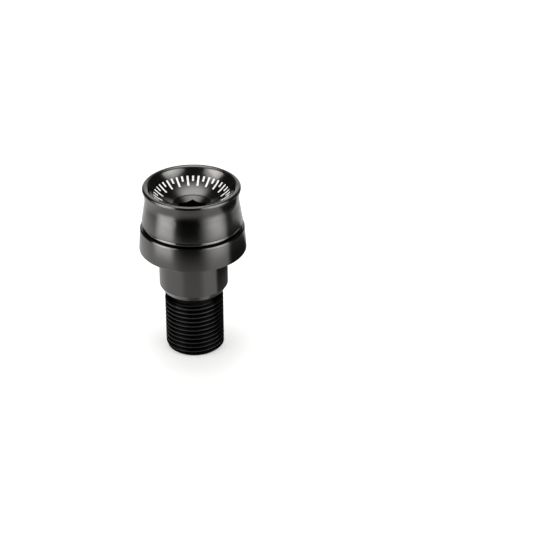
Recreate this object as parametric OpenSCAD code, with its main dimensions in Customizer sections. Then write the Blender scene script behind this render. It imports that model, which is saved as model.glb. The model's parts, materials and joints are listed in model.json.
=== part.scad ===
// Bar end weight for a motorcycle handlebar.
// One bar of aluminium turned to a dished head, a ring, a sleeve and a threaded stud,
// with a hexagon socket in the dish and a rubber O-ring in the groove under the head.
// Millimetres. Z runs up the turning axis, and z = 0 is the end of the stud.

/* [Stud] */
// Major diameter of the thread, drawn as a plain cylinder
thread_d = 18; // [14:0.5:19]
// Distance from the end of the stud to the sleeve
stud_len = 20.3; // [12:0.1:40]
// Chamfer at the end of the stud
stud_chamfer = 0.8; // [0.3:0.1:1.5]
// Length of the relief groove between the thread and the sleeve
relief_len = 2.4; // [0.8:0.1:3]
// Depth of the relief groove under the major diameter
relief_depth = 1; // [0.4:0.05:1.5]

/* [Sleeve] */
// Diameter of the sleeve that centres the weight in the bar
sleeve_d = 21; // [19:0.1:24]
// Length of the sleeve
sleeve_len = 13.7; // [6:0.1:30]
// How far the lead-in chamfer goes in at the sleeve's lower edge
lead_in = 1; // [0.3:0.1:1.5]
// Height of the lead-in chamfer
lead_h = 1.7; // [0.5:0.1:3]

/* [Ring] */
// Largest diameter of the ring, near its lower edge
ring_d = 32.6; // [30:0.1:38]
// Diameter of the ring at its upper edge
ring_top_d = 31.6; // [30:0.1:38]
// Height of the ring
ring_h = 7.4; // [4:0.1:14]
// Rounding of the ring's lower edge
ring_round = 0.4; // [0.2:0.05:1]
// Chamfer of the ring's upper edge
ring_chamfer = 0.3; // [0.1:0.05:0.8]

/* [O-ring groove] */
// Width of the groove between the ring and the head
groove_w = 1.6; // [1.2:0.05:3]
// Diameter of the groove's floor
groove_d = 26.6; // [24:0.1:28]
// Thickness of the O-ring's section
o_ring_section = 1.5; // [1:0.05:2.5]
// How far the stretched O-ring flattens on the groove's floor
o_ring_flat = 0.06; // [0.02:0.01:0.15]

/* [Head] */
// Diameter of the head at its base
head_d = 30.5; // [29:0.1:34]
// Diameter of the neck under the rim
neck_d = 28.4; // [27:0.1:29.2]
// Outer diameter of the rim
rim_d = 29.6; // [28.8:0.1:32]
// Height of the head, from its base to the top of the rim
head_h = 11.7; // [10:0.1:20]
// Thickness of the rim, from its outer side to the dish
rim_w = 1.7; // [1.2:0.1:2]
// Outer rounding of the rim
rim_round = 0.7; // [0.4:0.05:0.9]
// Inner rounding of the rim, where it rolls over into the dish
lip_round = 1.4; // [1.1:0.1:2.5]
// Radius of the cove between the neck and the rim
cove_r = 8.9; // [4:0.1:12]
// Rounding of the edge at the head's base
head_edge = 0.3; // [0.1:0.05:0.6]

/* [Dish and socket] */
// Radius of the ball shape that forms the dish
dish_r = 16.2; // [15:0.1:24]
// Diameter of the drilled hole at the bottom of the dish
hole_d = 11.7; // [10:0.1:14]
// Height of the drilled hole's straight wall above its cone
hole_wall = 0.25; // [0.1:0.05:2]
// Point angle of the drills
drill_angle = 118; // [90:1:140]
// Width of the hexagon socket across its flats
hex_af = 8; // [5:0.5:8.5]
// Depth of the hexagon socket under the drilled cone
hex_depth = 9.5; // [5:0.5:12]
// How much smaller the socket's pilot drill is than its flats, in radius
pilot_gap = 0.15; // [0.05:0.05:0.4]

/* [Hidden] */
$fn = 96;

// Radii of the turned steps
thread_r = thread_d / 2;
relief_r = thread_r - relief_depth;
sleeve_r = sleeve_d / 2;
ring_r = ring_d / 2;
ring_top_r = ring_top_d / 2;
groove_r = groove_d / 2;
head_r = head_d / 2;
neck_r = neck_d / 2;
rim_r = rim_d / 2;
hole_r = hole_d / 2;

// Heights of the turned steps
relief_z = stud_len - relief_len;
ring_z = stud_len + sleeve_len;
groove_z = ring_z + ring_h;
head_z = groove_z + groove_w;
top_z = head_z + head_h;

// Centre of the rim's outer rounding
rim_c = [rim_r - rim_round, top_z - rim_round];
// Centre of the cove, which touches the rim's outer rounding from outside
cove_x = neck_r + cove_r;
cove_c = [cove_x, rim_c[1] - sqrt(pow(cove_r + rim_round, 2) - pow(cove_x - rim_c[0], 2))];
// Angle under the horizontal at which the rim's outer rounding runs into the cove
rim_fall = atan((rim_c[1] - cove_c[1]) / (cove_x - rim_c[0]));
// Upper end of the rounded edge at the head's base, where the taper starts
taper_z = head_z + head_edge;
// Lean of the taper, a straight line from there that touches the cove
to_cove = cove_c - [head_r, taper_z];
taper_lean = asin(cove_r / norm(to_cove)) - atan(to_cove[0] / to_cove[1]);

// Centre of the rim's inner rounding, and the angle at which it meets the dish
lip_c = [rim_c[0], top_z - lip_round];
dish_edge_r = rim_r - rim_w;
lip_end = acos((dish_edge_r - lip_c[0]) / lip_round);
// Height of the ball's centre, with the dish starting where the inner rounding ends
dish_z = lip_c[1] + lip_round * sin(lip_end) + sqrt(pow(dish_r, 2) - pow(dish_edge_r, 2));
// Height at which the drilled hole meets the dish
hole_z = dish_z - sqrt(pow(dish_r, 2) - pow(hole_r, 2));
// Height at which the drilled hole's wall ends and its cone starts
cone_z = hole_z - hole_wall;
// Rise of a drill's cone for each millimetre of radius
drill_rise = tan(90 - drill_angle / 2);
cone_tip_z = cone_z - hole_r * drill_rise;
// The socket's corners, and its depth below the place where its flats leave the cone
hex_corner_r = hex_af / 2 / cos(30);
hex_z = cone_tip_z + hex_af / 2 * drill_rise - hex_depth;
// Pilot drill of the socket, a little smaller than the flats
pilot_r = hex_af / 2 - pilot_gap;

// Largest turn between two neighbouring points of an arc
arc_step = 5;

// Points along an arc of the outline
function arc(centre, radius, from, to) =
    let (steps = ceil(abs(to - from) / arc_step))
    [for (i = [0:steps]) let (a = from + (to - from) * i / steps) centre + radius * [cos(a), sin(a)]];

// Stud with its chamfered end and its relief groove
stud_points = [
    [0, 0],
    [thread_r - stud_chamfer, 0],
    [thread_r, stud_chamfer],
    [thread_r, relief_z],
    [relief_r, relief_z],
    [relief_r, stud_len]
];

// Sleeve with its lead-in chamfer
sleeve_points = [
    [sleeve_r - lead_in, stud_len],
    [sleeve_r, stud_len + lead_h],
    [sleeve_r, ring_z]
];

// Ring that leans out towards its rounded lower edge, and the groove above it
ring_points = concat(
    arc([ring_r - ring_round, ring_z + ring_round], ring_round, -90, 0),
    [
        [ring_top_r, groove_z - ring_chamfer],
        [ring_top_r - ring_chamfer, groove_z],
        [groove_r, groove_z],
        [groove_r, head_z]
    ]
);

// Head: rounded base edge, taper, cove and rolled rim
head_points = concat(
    arc([head_r - head_edge, taper_z], head_edge, -90, 0),
    arc(cove_c, cove_r, 180 + taper_lean, 180 - rim_fall),
    arc(rim_c, rim_round, -rim_fall, 90),
    arc(lip_c, lip_round, 90, lip_end)
);

// Dish, from the rim down to the drilled cone
dish_points = concat(
    arc([0, dish_z], dish_r, asin(dish_edge_r / dish_r) - 90, asin(hole_r / dish_r) - 90),
    [[hole_r, cone_z], [0, cone_tip_z]]
);

// Hexagon socket with the point of its pilot drill, as one cutter
module hex_cut() {
    translate([0, 0, hex_z])
        rotate(90) cylinder(h = hole_z - hex_z, r = hex_corner_r, $fn = 6);
    translate([0, 0, hex_z - pilot_r * drill_rise])
        cylinder(h = pilot_r * drill_rise, r1 = 0, r2 = pilot_r);
}

// Turned aluminium weight
module bar_end() {
    color([0.09, 0.09, 0.1])
    difference() {
        rotate_extrude() polygon(concat(stud_points, sleeve_points, ring_points, head_points, dish_points));
        hex_cut();
    }
}

// Rubber O-ring, stretched on to the groove's floor
module o_ring() {
    section_r = o_ring_section / 2;
    color([0.03, 0.03, 0.03])
    rotate_extrude()
    difference() {
        translate([groove_r + section_r - o_ring_flat, groove_z + groove_w / 2]) circle(r = section_r);
        translate([0, groove_z]) square([groove_r, groove_w]);
    }
}

bar_end();
o_ring();
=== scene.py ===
import json
import math
import bmesh
import bpy
from mathutils import Matrix, Vector


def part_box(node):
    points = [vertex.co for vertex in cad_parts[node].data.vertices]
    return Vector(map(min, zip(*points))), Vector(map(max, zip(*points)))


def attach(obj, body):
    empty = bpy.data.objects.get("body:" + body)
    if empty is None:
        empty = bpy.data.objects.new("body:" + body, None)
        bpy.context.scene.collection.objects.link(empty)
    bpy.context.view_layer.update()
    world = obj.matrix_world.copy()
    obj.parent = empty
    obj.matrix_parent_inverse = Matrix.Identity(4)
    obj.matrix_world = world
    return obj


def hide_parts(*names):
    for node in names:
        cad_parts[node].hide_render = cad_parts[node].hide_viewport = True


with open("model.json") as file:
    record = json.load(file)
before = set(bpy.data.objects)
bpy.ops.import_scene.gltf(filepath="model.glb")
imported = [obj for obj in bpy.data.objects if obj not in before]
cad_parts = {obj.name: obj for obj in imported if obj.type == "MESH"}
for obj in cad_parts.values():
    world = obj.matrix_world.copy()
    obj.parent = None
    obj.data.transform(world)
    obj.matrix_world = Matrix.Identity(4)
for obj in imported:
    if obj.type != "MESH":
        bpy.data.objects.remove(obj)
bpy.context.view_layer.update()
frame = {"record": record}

mounts = {mount["name"]: mount for mount in frame["record"]["mounts"]}
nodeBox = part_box("bar_end")        # lowest and highest corner of the turned weight, in metres
mm = 0.001
cleanDist = 1e-4        # mm, points closer than this are one point


# Small tools shared by the pieces

def addNode(tree, kind, settings=None, *values):
    # Settings go by name or by input number, and the values into the first inputs in turn.
    # A socket is linked, anything else is set, and the node's outputs come back
    node = tree.nodes.new("ShaderNode" + kind)
    for key, value in [*(settings or {}).items(), *enumerate(values)]:
        if isinstance(value, bpy.types.NodeSocket):
            tree.links.new(value, node.inputs[key])
        elif isinstance(key, int) or key in node.inputs:
            node.inputs[key].default_value = value
        else:
            setattr(node, key, value)
    return node.outputs


# Settings that many nodes share. A Map Range node's values are what it reads, then its span:
# where it starts and ends, and what it gives there
plus = {"operation": "ADD"}
minus = {"operation": "SUBTRACT"}
times = {"operation": "MULTIPLY"}
timesPlus = {"operation": "MULTIPLY_ADD"}
length = {"operation": "LENGTH"}
smooth = {"interpolation_type": "SMOOTHSTEP"}
blend = {"data_type": "RGBA"}


def hexColour(text):        # sRGB hex to the linear colour that shaders use
    parts = [int(text[i:i + 2], 16) / 255 for i in (1, 3, 5)]
    linear = [c / 12.92 if c <= 0.04045 else ((c + 0.055) / 1.055) ** 2.4 for c in parts]
    return (*linear, 1.0)


def arc(centre, radius, start, end, steps):        # points (across, up) on an arc, in degrees
    turns = [math.radians(start + (end - start) * i / steps) for i in range(steps + 1)]
    return [(centre[0] + radius * math.cos(a), centre[1] + radius * math.sin(a)) for a in turns]


def turned(points, steps):        # full spin of an outline round the Z axis
    bm = bmesh.new()
    verts = [bm.verts.new((x, 0, z)) for x, z in points]
    edges = [bm.edges.new(pair) for pair in zip(verts, verts[1:])]
    bmesh.ops.spin(bm, geom=verts + edges, cent=(0, 0, 0), axis=(0, 0, 1), dvec=(0, 0, 0),
                   angle=math.tau, steps=steps, use_merge=True, use_duplicate=False)
    bmesh.ops.remove_doubles(bm, verts=bm.verts, dist=cleanDist)
    bmesh.ops.recalc_face_normals(bm, faces=bm.faces)
    return bm


def finishMesh(bm, name, material=None, sharp=None, scale=mm):        # from millimetres to a scene object
    bmesh.ops.scale(bm, vec=(scale,) * 3, verts=bm.verts)
    mesh = bpy.data.meshes.new(name)
    bm.to_mesh(mesh)
    bm.free()
    if sharp is not None:
        mesh.shade_smooth()
        mesh.set_sharp_from_angle(angle=math.radians(sharp))
    if material:
        mesh.materials.append(material)
    piece = bpy.data.objects.new(name, mesh)
    bpy.context.scene.collection.objects.link(piece)
    return piece


def cutWith(piece, cutter):        # takes the cutter's volume out of the piece, then removes the cutter
    cut = piece.modifiers.new("cut", "BOOLEAN")
    cut.operation = "DIFFERENCE"
    cut.solver = "EXACT"
    cut.object = cutter
    evaluated = piece.evaluated_get(bpy.context.evaluated_depsgraph_get())
    mesh = bpy.data.meshes.new_from_object(evaluated)
    piece.modifiers.remove(cut)
    old = piece.data
    piece.data = mesh
    bpy.data.meshes.remove(old)
    bpy.data.objects.remove(cutter)


# Turned aluminium weight: radii and heights in mm, angles in degrees

weight = {
    "threadR": mounts["threaded_stud"]["dims"]["r_mm"],
    "studChamfer": 0.8, "reliefLow": 17.9, "reliefR": 8.0,
    "sleeveLow": 20.3, "sleeveR": mounts["sleeve"]["dims"]["r_mm"], "leadIn": 1.0, "leadHigh": 1.7,
    "ringLow": 34.0, "ringHigh": 41.4, "ringR": nodeBox[1][0] / mm, "ringTopR": 15.8,
    "ringRound": 0.4, "ringChamfer": 0.3, "grooveR": 13.3,
    "headLow": 43.0, "headR": 15.25, "headEdge": 0.3, "neckR": 14.2, "coveR": 8.9,
    "rimR": 14.8, "rimWidth": 1.7, "rimRound": 0.7, "lipRound": 1.4, "top": nodeBox[1][2] / mm,
    "dishR": 16.2, "holeR": 5.85, "holeWall": 0.25, "drillAngle": 118,
    "hexFlats": 8.0, "hexDepth": 9.5, "pilotGap": 0.15,
    # Steps round the axis and along each arc, and the angle past which an edge stays sharp
    "steps": 240, "ringSteps": 8, "edgeSteps": 6, "coveSteps": 14, "rimSteps": 14, "lipSteps": 10,
    "dishSteps": 28, "sharp": 24,
}
thread = {
    "pitch": 1.5, "depth": 0.92, "rootFlat": 0.32, "flank": 30,
    "proud": 0.1,        # how far the cutter stands out of the stud
    "runOut": 0.5,        # turns that it goes on into the relief
    "turnSteps": 96,
}


def studOutline(w):
    return [(0, 0), (w["threadR"] - w["studChamfer"], 0), (w["threadR"], w["studChamfer"]),
            (w["threadR"], w["reliefLow"]), (w["reliefR"], w["reliefLow"]), (w["reliefR"], w["sleeveLow"])]


def sleeveOutline(w):
    return [(w["sleeveR"] - w["leadIn"], w["sleeveLow"]), (w["sleeveR"], w["sleeveLow"] + w["leadHigh"]),
            (w["sleeveR"], w["ringLow"])]


def ringOutline(w):
    corner = (w["ringR"] - w["ringRound"], w["ringLow"] + w["ringRound"])
    upper = [(w["ringTopR"], w["ringHigh"] - w["ringChamfer"]),
             (w["ringTopR"] - w["ringChamfer"], w["ringHigh"])]
    groove = [(w["grooveR"], w["ringHigh"]), (w["grooveR"], w["headLow"])]
    return arc(corner, w["ringRound"], -90, 0, w["ringSteps"]) + upper + groove


def dishPlace(w):
    # Radius and angle where the rim rolls over into the dish, and the height of its ball's centre
    edgeR = w["rimR"] - w["rimWidth"]
    turn = math.acos((w["rimRound"] - w["rimWidth"]) / w["lipRound"])
    edgeZ = w["top"] - w["lipRound"] * (1 - math.sin(turn))
    return edgeR, math.degrees(turn), edgeZ + math.sqrt(w["dishR"] ** 2 - edgeR ** 2)


def headOutline(w):
    edge = Vector((w["headR"] - w["headEdge"], w["headLow"] + w["headEdge"]))
    rim = Vector((w["rimR"] - w["rimRound"], w["top"] - w["rimRound"]))
    lip = Vector((rim.x, w["top"] - w["lipRound"]))
    coveX = w["neckR"] + w["coveR"]
    cove = Vector((coveX, rim.y - math.sqrt((w["coveR"] + w["rimRound"]) ** 2 - (coveX - rim.x) ** 2)))
    fall = math.degrees(math.atan2(rim.y - cove.y, coveX - rim.x))
    toCove = cove - Vector((w["headR"], edge.y))
    lean = math.degrees(math.asin(w["coveR"] / toCove.length) - math.atan2(toCove.x, toCove.y))
    points = arc(edge, w["headEdge"], -90, 0, w["edgeSteps"])
    points += arc(cove, w["coveR"], 180 + lean, 180 - fall, w["coveSteps"])
    points += arc(rim, w["rimRound"], -fall, 90, w["rimSteps"])[1:]
    return points + arc(lip, w["lipRound"], 90, dishPlace(w)[1], w["lipSteps"])[1:]


def dishOutline(w):
    edgeR, _, centreZ = dishPlace(w)
    start = math.degrees(math.asin(edgeR / w["dishR"])) - 90
    end = math.degrees(math.asin(w["holeR"] / w["dishR"])) - 90
    dish = arc((0, centreZ), w["dishR"], start, end, w["dishSteps"])[1:]
    coneZ = dish[-1][1] - w["holeWall"]
    rise = math.tan(math.radians(90 - w["drillAngle"] / 2))
    return dish + [(w["holeR"], coneZ), (0, coneZ - w["holeR"] * rise)]


def threadCutter(w, t):        # a right-hand V groove that runs up the stud into its relief
    bm = bmesh.new()
    low, high = w["threadR"] - t["depth"], w["threadR"] + t["proud"]
    halfRoot = t["rootFlat"] / 2
    halfTop = halfRoot + (high - low) * math.tan(math.radians(t["flank"]))
    start = -t["pitch"]
    section = [bm.verts.new((x, 0, start + z)) for x, z in
               ((low, -halfRoot), (high, -halfTop), (high, halfTop), (low, halfRoot))]
    face = bm.faces.new(section)
    turns = (w["reliefLow"] - start) / t["pitch"] + t["runOut"]
    steps = round(turns * t["turnSteps"])
    bmesh.ops.spin(bm, geom=[face], cent=(0, 0, 0), axis=(0, 0, 1), angle=steps * math.tau / t["turnSteps"],
                   dvec=(0, 0, t["pitch"] / t["turnSteps"]), steps=steps, use_duplicate=False)
    bmesh.ops.recalc_face_normals(bm, faces=bm.faces)
    return bm


def hexCutter(w):        # hexagon socket with a corner towards +Y, and the point of its pilot drill
    holeZ = dishPlace(w)[2] - math.sqrt(w["dishR"] ** 2 - w["holeR"] ** 2)
    rise = math.tan(math.radians(90 - w["drillAngle"] / 2))
    tipZ = holeZ - w["holeWall"] - w["holeR"] * rise
    lowZ = tipZ + w["hexFlats"] / 2 * rise - w["hexDepth"]
    cornerR = w["hexFlats"] / 2 / math.cos(math.radians(30))
    bm = bmesh.new()
    place = Matrix.Translation((0, 0, (lowZ + holeZ) / 2))
    bmesh.ops.create_cone(bm, cap_ends=True, segments=6, radius1=cornerR, radius2=cornerR,
                          depth=holeZ - lowZ, matrix=place)
    bottom = min(bm.faces, key=lambda face: face.calc_center_median().z)
    pilotR = w["hexFlats"] / 2 - w["pilotGap"]
    bmesh.ops.inset_individual(bm, faces=[bottom], thickness=w["pilotGap"], depth=0)
    tip = bmesh.ops.poke(bm, faces=[bottom], offset=0)["verts"]
    bmesh.ops.translate(bm, vec=(0, 0, -pilotR * rise), verts=tip)
    bmesh.ops.recalc_face_normals(bm, faces=bm.faces)
    return bm


def buildWeight(w, t, material):
    outline = studOutline(w) + sleeveOutline(w) + ringOutline(w) + headOutline(w) + dishOutline(w)
    blank = finishMesh(turned(outline, w["steps"]), "blank", scale=1)
    cutWith(blank, finishMesh(hexCutter(w), "hexCutter", scale=1))
    cutWith(blank, finishMesh(threadCutter(w, t), "threadCutter", scale=1))
    bm = bmesh.new()
    bm.from_mesh(blank.data)
    bpy.data.objects.remove(blank)
    bmesh.ops.remove_doubles(bm, verts=bm.verts, dist=cleanDist)
    return finishMesh(bm, "turned_weight", material, w["sharp"])


# O-ring in the groove under the head

seal = {"section": 1.5, "flat": 0.06, "steps": 200, "roundSteps": 28, "sharp": 40}


def buildSeal(s, w, material):
    half = s["section"] / 2
    centre = (w["grooveR"] + half - s["flat"], (w["ringHigh"] + w["headLow"]) / 2)
    flatTurn = math.degrees(math.acos((half - s["flat"]) / half))
    points = arc(centre, half, -180 + flatTurn, 180 - flatTurn, s["roundSteps"])
    return finishMesh(turned(points + points[:1], s["steps"]), "o_ring_seal", material, s["sharp"])


# White filled marks in the dish, a plain scale of long and short strokes

marks = {
    "inner": 8.8, "outer": 11.4, "shortInner": 10.1, "width": 0.6,
    "lift": 0.02, "sink": 0.06,        # how far they stand over the dish, and their thickness
    "spacing": 8.75, "farCount": 27, "nearCount": 9,        # degrees, and strokes on each side
    "segments": (12, 2), "sharp": 40,
}


def buildMarks(m, w, material):
    centreZ = dishPlace(w)[2]
    ballR = w["dishR"] - m["lift"]
    along, across = m["segments"]
    bm = bmesh.new()
    for middle, count in ((90, m["farCount"]), (270, m["nearCount"])):
        for i in range(count):
            turn = math.radians(middle + (i - (count - 1) / 2) * m["spacing"])
            inner = m["inner"] if i % 2 == 0 else m["shortInner"]
            stroke = bmesh.ops.create_grid(bm, x_segments=along, y_segments=across, size=0.5)["verts"]
            bmesh.ops.scale(bm, vec=(m["outer"] - inner, m["width"], 1), verts=stroke)
            bmesh.ops.translate(bm, vec=((m["outer"] + inner) / 2, 0, 0), verts=stroke)
            bmesh.ops.rotate(bm, cent=(0, 0, 0), matrix=Matrix.Rotation(turn, 3, "Z"), verts=stroke)
    for v in bm.verts:        # lay the strokes on the dish
        v.co.z = centreZ - math.sqrt(ballR ** 2 - v.co.x ** 2 - v.co.y ** 2)
    bmesh.ops.recalc_face_normals(bm, faces=bm.faces)
    bmesh.ops.solidify(bm, geom=bm.faces, thickness=m["sink"])
    bmesh.ops.recalc_face_normals(bm, faces=bm.faces)
    return finishMesh(bm, "dish_marks", material, m["sharp"])


# Finishes: sizes in mm

finish = {
    "metal": "#4c4b4a", "metalRough": (0.15, 0.2), "roughSpan": (0.15, 0.4), "anisotropy": 0.4,
    "toolPitch": 0.16, "toolHeight": 0.0012, "toolDetail": 3.0, "toolGrit": 0.6,        # the tool's rings
    "patchSize": 6.0,        # of the rougher and smoother areas
    # Painted shade: darker tones for the thread's grooves and for the relief under the sleeve
    "thread": "#2a2929", "relief": "#101010",
    "threadEdge": "#b4b4b4", "threadRough": 0.04,        # painted shade: a darker tint at a glancing view, and added roughness
    "threadTop": (0.6, 0.4),        # under the sleeve's edge, where the painted shade and the added roughness end
    "crest": (0.1, 0.03),        # under the thread's crest, where the painted shade ends and the smooth finish takes over
    "reliefFade": (-0.1, 0.2),        # over the relief's lower edge, where its darker painted shade starts
    "rubber": "#121213", "rubberRough": (0.05, 0.12), "rubberGrain": 0.3,
    "rubberIor": 2.0,        # more than rubber's 1.5, for a line as bright as the real one's
    "paint": "#f6f5f2", "paintRough": (0.35, 0.5), "paintGrain": 0.25, "grainDetail": 2.0,
}


def newMaterial(name):
    material = bpy.data.materials.new(name)
    material.use_nodes = True
    material.node_tree.nodes.clear()
    return material, material.node_tree


def anodisedAluminium(f, w):
    # Black anodised aluminium, turned: the dyed oxide gives a dark satin gloss, and the tool's
    # fine rings spread each reflection along the axis and keep it sharp round the part
    material, tree = newMaterial("black_anodised_turned_aluminium")
    place = addNode(tree, "TexCoord")["Object"]
    height = addNode(tree, "SeparateXYZ", None, place)["Z"]
    flat = addNode(tree, "VectorMath", times, place, (1, 1, 0))[0]
    radius = addNode(tree, "VectorMath", length, flat)["Value"]
    path = addNode(tree, "Math", plus, height, radius)[0]        # runs along the outline
    rings = addNode(tree, "TexNoise", {"noise_dimensions": "1D", "W": path,
                                       "Scale": 1 / (f["toolPitch"] * mm), "Detail": f["toolDetail"],
                                       "Roughness": f["toolGrit"]})["Fac"]
    patches = addNode(tree, "TexNoise", {"Vector": place, "Scale": 1 / (f["patchSize"] * mm),
                                         "Detail": f["toolDetail"]})["Fac"]
    both = addNode(tree, "Math", times, rings, patches)[0]
    rough = addNode(tree, "MapRange", None, both, *f["roughSpan"], *f["metalRough"])[0]
    bump = addNode(tree, "Bump", {"Height": rings, "Strength": 1.0, "Distance": f["toolHeight"] * mm})[0]

    # The thread's flanks and the relief get painted shade: darker tones, and a darker tint at a glancing
    # view, for the shade in the thread's grooves and under the sleeve. They are also rougher, and the
    # thread's crests keep the smooth finish
    low, high = [(w["sleeveLow"] - under) * mm for under in f["threadTop"]]
    stud = addNode(tree, "MapRange", smooth, height, low, high, 1.0, 0.0)[0]
    low, high = [(w["threadR"] - under) * mm for under in f["crest"]]
    flanks = addNode(tree, "MapRange", smooth, radius, low, high, 1.0, 0.0)[0]
    cut = addNode(tree, "Math", times, stud, flanks)[0]
    low, high = [(w["reliefLow"] + over) * mm for over in f["reliefFade"]]
    relief = addNode(tree, "MapRange", smooth, height, low, high, 0.0, 1.0)[0]
    # painted shade, darker still in the relief
    paintedShade = addNode(tree, "Mix", {**blend, 0: relief, 6: hexColour(f["thread"]),
                                 7: hexColour(f["relief"])})[2]
    tone = addNode(tree, "Mix", {**blend, 0: cut, 6: hexColour(f["metal"]), 7: paintedShade})[2]
    # painted shade: a darker tint at a glancing view on the thread
    tint = addNode(tree, "Mix", {**blend, 0: cut, 6: (1, 1, 1, 1), 7: hexColour(f["threadEdge"])})[2]
    rough = addNode(tree, "Math", timesPlus, cut, f["threadRough"], rough)[0]

    along = addNode(tree, "Tangent", {"direction_type": "RADIAL", "axis": "Z"})[0]
    shader = addNode(tree, "BsdfPrincipled", {
        "Base Color": tone, "Metallic": 1.0, "Roughness": rough, "Specular Tint": tint, "Normal": bump,
        "Anisotropic": f["anisotropy"], "Anisotropic Rotation": 0.25, "Tangent": along})[0]
    addNode(tree, "OutputMaterial", {"Surface": shader})
    return material


def nitrileRubber(f):
    # Black nitrile rubber, moulded: smooth, so its round section carries a thin bright line
    material, tree = newMaterial("black_nitrile_rubber")
    place = addNode(tree, "TexCoord")["Object"]
    grain = addNode(tree, "TexNoise", {"Vector": place, "Scale": 1 / (f["rubberGrain"] * mm),
                                       "Detail": f["grainDetail"]})["Fac"]
    rough = addNode(tree, "MapRange", None, grain, 0.0, 1.0, *f["rubberRough"])[0]
    shader = addNode(tree, "BsdfPrincipled", {"Base Color": hexColour(f["rubber"]), "Roughness": rough,
                                              "IOR": f["rubberIor"]})[0]
    addNode(tree, "OutputMaterial", {"Surface": shader})
    return material


def fillPaint(f):
    # White enamel wiped into shallow engraving: flat, dense, a little uneven
    material, tree = newMaterial("white_fill_enamel")
    place = addNode(tree, "TexCoord")["Object"]
    grain = addNode(tree, "TexNoise", {"Vector": place, "Scale": 1 / (f["paintGrain"] * mm),
                                       "Detail": f["grainDetail"]})["Fac"]
    rough = addNode(tree, "MapRange", None, grain, 0.0, 1.0, *f["paintRough"])[0]
    shader = addNode(tree, "BsdfPrincipled", {"Base Color": hexColour(f["paint"]), "Roughness": rough})[0]
    addNode(tree, "OutputMaterial", {"Surface": shader})
    return material


metal = anodisedAluminium(finish, weight)
rubber = nitrileRubber(finish)
paint = fillPaint(finish)
print("finishes ready")

turnedWeight = buildWeight(weight, thread, metal)
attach(turnedWeight, "root")
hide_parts("bar_end")
print("turned weight:", len(turnedWeight.data.polygons), "faces")

sealRing = buildSeal(seal, weight, rubber)
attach(sealRing, "root")
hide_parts("o_ring")
print("O-ring ready")

dishMarks = buildMarks(marks, weight, paint)
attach(dishMarks, "root")
print("marks ready")


# Pale floor. Distances are in metres from the weight's axis, and turns in degrees, 0 towards the
# camera and 90 at the right. A span is its start, its end, and the values there

floor = {
    "size": 1.6, "tone": "#eaeae8",
    "lift": (0.15, 0.45, 0.35, 0.5),        # light for the camera alone, by distance
    # The rest is painted light and shade, there only for the metal to mirror
    "share": 0.88,        # of the floor's tone
    "front": (-0.112, -0.06, 0.05, 1.0),        # painted shade: almost no floor in front of this
    "sideTurn": (18, 42, 0.0, 1.0), "sideFar": (0.1, 0.17, 0.5, 0.2),        # painted glow, none in front
    "sheens": (        # painted sheens of the side panels, by turn and by distance
        {"rise": (-90, -70, 0.0, 3.5), "fall": (-46, -32, 1.0, 0.0), "near": (0.086, 0.11, 0.0, 1.0)},
        {"rise": (10, 55, 0.0, 2.9), "fall": (62, 90, 1.0, 0.0), "near": (0.086, 0.126, 0.0, 1.0)},
    ),
    "sheenEnd": (0.185, 0.2, 1.0, 0.0),
    "backTurn": (100, 140, 0.0, 1.0), "backLoss": (0.085, 0.125, 0.4, 0.14),        # painted shade behind
    # Painted shade at the right, a dark patch on the floor that only the metal mirrors: the turns between
    # which it lies, and its tone, by distance
    "cardStart": (0.085, 0.13, 78.5, 84.5), "cardEnd": (0.06, 0.13, 163, 104),
    "cardIn": (-6, 6, 0.0, 1.0), "cardOut": (-6, 6, 1.0, 0.0),
    "cardTone": (0.085, 0.13, 0.04, 0.25), "cardNear": (0.046, 0.06, 0.16, 0.0),
}


def floorGlow(tree, f, turn, side, far):        # painted light that the metal sees on the floor
    sector = addNode(tree, "MapRange", smooth, side, *f["sideTurn"])[0]
    reach = addNode(tree, "MapRange", smooth, far, *f["sideFar"])[0]
    glow = addNode(tree, "Math", times, sector, reach)[0]
    end = addNode(tree, "MapRange", smooth, far, *f["sheenEnd"])[0]
    for sheen in f["sheens"]:
        rise = addNode(tree, "MapRange", smooth, turn, *sheen["rise"])[0]
        fall = addNode(tree, "MapRange", smooth, turn, *sheen["fall"])[0]
        near = addNode(tree, "MapRange", None, far, *sheen["near"])[0]
        sector = addNode(tree, "Math", times, rise, fall)[0]
        reach = addNode(tree, "Math", times, near, end)[0]
        glow = addNode(tree, "Math", timesPlus, sector, reach, glow)[0]
    return glow


def floorBare(tree, f, turn, side, far):        # share of the floor that the painted dark patch and the painted shade behind leave
    start = addNode(tree, "MapRange", None, far, *f["cardStart"])[0]
    end = addNode(tree, "MapRange", None, far, *f["cardEnd"])[0]
    into = addNode(tree, "Math", minus, turn, start)[0]
    past = addNode(tree, "Math", minus, turn, end)[0]
    cardIn = addNode(tree, "MapRange", smooth, into, *f["cardIn"])[0]
    cardOut = addNode(tree, "MapRange", smooth, past, *f["cardOut"])[0]
    # painted dark patch on the floor, which only the metal mirrors as a dark reflection
    paintedDark = addNode(tree, "Math", times, cardIn, cardOut)[0]
    tone = addNode(tree, "MapRange", smooth, far, *f["cardTone"])[0]
    near = addNode(tree, "MapRange", smooth, far, *f["cardNear"])[0]
    tone = addNode(tree, "Math", plus, tone, near)[0]
    beside = addNode(tree, "Math", minus, 1.0, paintedDark)[0]
    bare = addNode(tree, "Math", timesPlus, paintedDark, tone, beside)[0]
    back = addNode(tree, "MapRange", smooth, side, *f["backTurn"])[0]
    loss = addNode(tree, "MapRange", smooth, far, *f["backLoss"])[0]
    loss = addNode(tree, "Math", times, back, loss)[0]
    kept = addNode(tree, "Math", minus, 1.0, loss)[0]
    return addNode(tree, "Math", times, bare, kept)[0]


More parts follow.
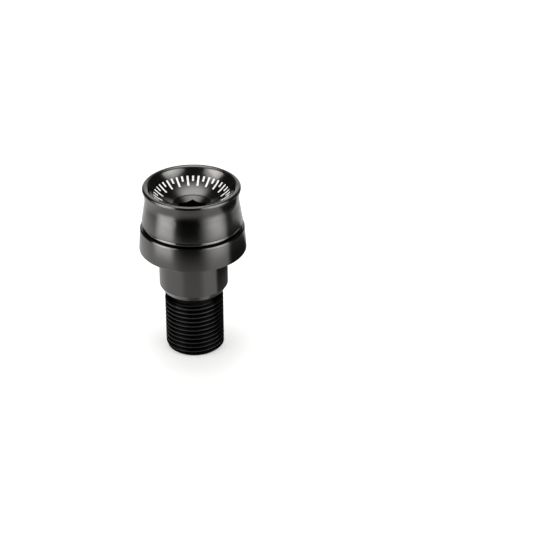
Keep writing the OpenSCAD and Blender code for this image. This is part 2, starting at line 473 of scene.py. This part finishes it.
def buildFloor(f):
    bm = bmesh.new()
    bmesh.ops.create_grid(bm, x_segments=1, y_segments=1, size=f["size"] / 2)
    material, tree = newMaterial("pale_floor")
    place = addNode(tree, "TexCoord")["Object"]
    split = addNode(tree, "SeparateXYZ", None, place)
    far = addNode(tree, "VectorMath", length, place)["Value"]
    ahead = addNode(tree, "Math", times, split["Y"], -1.0)[0]
    turn = addNode(tree, "Math", {"operation": "ARCTAN2"}, split["X"], ahead)[0]
    turn = addNode(tree, "Math", {"operation": "DEGREES"}, turn)[0]
    side = addNode(tree, "Math", {"operation": "ABSOLUTE"}, turn)[0]
    ray = addNode(tree, "LightPath")
    glow = floorGlow(tree, f, turn, side, far)
    bare = floorBare(tree, f, turn, side, far)

    # Painted shade for the metal alone: the floor's tone dims in front, at the dark patch and behind
    front = addNode(tree, "MapRange", None, split["Y"], *f["front"])[0]
    seen = addNode(tree, "Math", times, front, bare)[0]
    seen = addNode(tree, "Math", times, seen, f["share"])[0]
    seen = addNode(tree, "Mix", {0: ray["Is Glossy Ray"], 2: 1.0, 3: seen})[0]
    colour = addNode(tree, "VectorMath", {"operation": "SCALE", "Scale": seen}, hexColour(f["tone"])[:3])[0]
    # Painted light for the metal alone: the glow and the panels' sheens on the floor
    glow = addNode(tree, "Math", times, glow, bare)[0]
    glow = addNode(tree, "Math", times, glow, ray["Is Glossy Ray"])[0]
    lift = addNode(tree, "MapRange", smooth, far, *f["lift"])[0]
    glow = addNode(tree, "Math", timesPlus, ray["Is Camera Ray"], lift, glow)[0]
    shader = addNode(tree, "BsdfDiffuse", {"Color": colour})[0]
    light = addNode(tree, "Emission", {"Strength": glow})[0]
    both = addNode(tree, "AddShader", None, shader, light)[0]
    addNode(tree, "OutputMaterial", {"Surface": both})
    return finishMesh(bm, "studio_floor", material, scale=1)


# Lamps: tall soft panels at both sides of the camera, and a soft panel overhead

lamps = {
    "reach": 0.17,        # from the weight's axis to each side panel
    # Turn from the camera's side in degrees, heights in metres, mirrored and lighting level, and
    # where a panel dims towards its sides, as shares of its width, with its level there
    "sides": (
        ("panelLeftLow", (-83, -34), (0.0, 0.12), (4.2, 1.7), (0.5, 0.08, 0.5)),
        ("panelLeftMiddle", (-97, -40), (0.12, 0.235), (8.0, 1.7), (0.5, 0.15, 0.5)),
        ("panelLeftHigh", (-97, -40), (0.235, 0.31), (3.4, 1.7), (0.5, 0.15, 0.5)),
        ("panelRightLow", (20, 87), (0.0, 0.12), (3.5, 1.7), (0.5, 0.0, 0.15)),
        ("panelRightMiddle", (25, 93), (0.12, 0.235), (7.2, 1.7), (0.5, 0.1, 0.5)),
        ("panelRightHigh", (25, 93), (0.235, 0.31), (4.2, 1.7), (0.5, 0.1, 0.5)),
    ),
    "topPlace": (-0.02, 0.115, 0.4), "topSize": 0.434,
    "topLevels": (4.9, 4.3), "topEdge": (0.5, 0.12, 0.03),
    "gap": 2 * mm,        # between a panel's two lamps, which would hide each other in one plane
}


def addPanel(name, place, aim, size, levels, edge, gap, allRound=False):
    # One lamp is what the metal mirrors, and the other is what lights
    way = (Vector(aim) - Vector(place)).normalized()
    for kind, level, step in zip(("Mirrored", "Lighting"), levels, (0, gap)):
        data = bpy.data.lights.new(name + kind, "AREA")
        data.shape = "RECTANGLE"
        data.size, data.size_y = size
        data.energy = level * math.pi * size[0] * size[1]        # gives its face a radiance of level
        data.use_nodes = True
        tree = data.node_tree
        spot = addNode(tree, "NewGeometry")["Parametric"]
        spot = addNode(tree, "VectorMath", minus, spot, (0.5, 0.5, 0))[0]
        spot = addNode(tree, "VectorMath", times, spot, (1, 1 if allRound else 0, 0))[0]
        off = addNode(tree, "VectorMath", length, spot)["Value"]
        bright = addNode(tree, "MapRange", smooth, off, *edge, 1.0)[0]
        tree.links.new(bright, tree.nodes["Emission"].inputs["Strength"])
        lamp = bpy.data.objects.new(name + kind, data)
        lamp.location = Vector(place) + way * step
        lamp.rotation_euler = way.to_track_quat("-Z", "Y").to_euler()
        lamp.visible_camera = False
        lamp.visible_glossy = kind == "Mirrored"
        lamp.visible_diffuse = kind == "Lighting"
        bpy.context.scene.collection.objects.link(lamp)


def buildLamps(p):
    for name, turns, heights, levels, edge in p["sides"]:
        middle = math.radians(sum(turns) / 2)
        width = 2 * p["reach"] * math.tan(math.radians(turns[1] - turns[0]) / 2)
        z = sum(heights) / 2
        place = Vector((math.sin(middle) * p["reach"], -math.cos(middle) * p["reach"], z))
        addPanel(name, place, (0, 0, z), (width, heights[1] - heights[0]), levels, edge, p["gap"])
    x, y, z = p["topPlace"]
    size = (p["topSize"], p["topSize"])
    addPanel("panelTop", (x, y, z), (x, y, 0), size, p["topLevels"], p["topEdge"], p["gap"], allRound=True)


# Room: white for the camera, plain light for the rest, and a pale wall behind for the metal to mirror

room = {
    "ambient": 0.45, "darkLevel": 0.08,
    "backTurn": (34, 16, 0.0, 1.0),        # degrees from straight behind the weight
    "backTop": (0.66, 0.5, 0.0, 1.7),        # sine of the rise at which the wall ends, and its level
}


def buildWorld(r):
    world = bpy.data.worlds.new("paleRoom")
    world.use_nodes = True
    tree = world.node_tree
    tree.nodes.clear()
    ray = addNode(tree, "LightPath")
    way = addNode(tree, "TexCoord")["Generated"]
    split = addNode(tree, "SeparateXYZ", None, way)
    across = addNode(tree, "Math", {"operation": "ABSOLUTE"}, split["X"])[0]
    turn = addNode(tree, "Math", {"operation": "ARCTAN2"}, across, split["Y"])[0]
    turn = addNode(tree, "Math", {"operation": "DEGREES"}, turn)[0]
    wall = addNode(tree, "MapRange", smooth, turn, *r["backTurn"])[0]
    level = addNode(tree, "MapRange", smooth, split["Z"], *r["backTop"])[0]
    mirrored = addNode(tree, "Math", timesPlus, wall, level, r["darkLevel"])[0]
    light = addNode(tree, "Mix", {0: ray["Is Glossy Ray"], 2: r["ambient"], 3: mirrored})[0]
    light = addNode(tree, "Mix", {0: ray["Is Camera Ray"], 2: light, 3: 1.0})[0]
    shader = addNode(tree, "Background", {"Strength": light})[0]
    addNode(tree, "OutputWorld", {"Surface": shader})
    bpy.context.scene.world = world


# Camera

view = {"lens": 115.7, "sensor": 36.0, "place": (0.02403, -0.46547, 0.29096), "down": 29.74, "clip": 0.01}


def buildCamera(c):
    data = bpy.data.cameras.new("camera")
    data.lens = c["lens"]
    data.sensor_width = c["sensor"]
    data.clip_start = c["clip"]
    camera = bpy.data.objects.new("camera", data)
    camera.location = c["place"]
    camera.rotation_euler = (math.radians(90 - c["down"]), 0, 0)
    bpy.context.scene.collection.objects.link(camera)
    bpy.context.scene.camera = camera


buildFloor(floor)
buildLamps(lamps)
buildWorld(room)
buildCamera(view)
bpy.context.scene.view_settings.view_transform = "Standard"
print("studio ready")
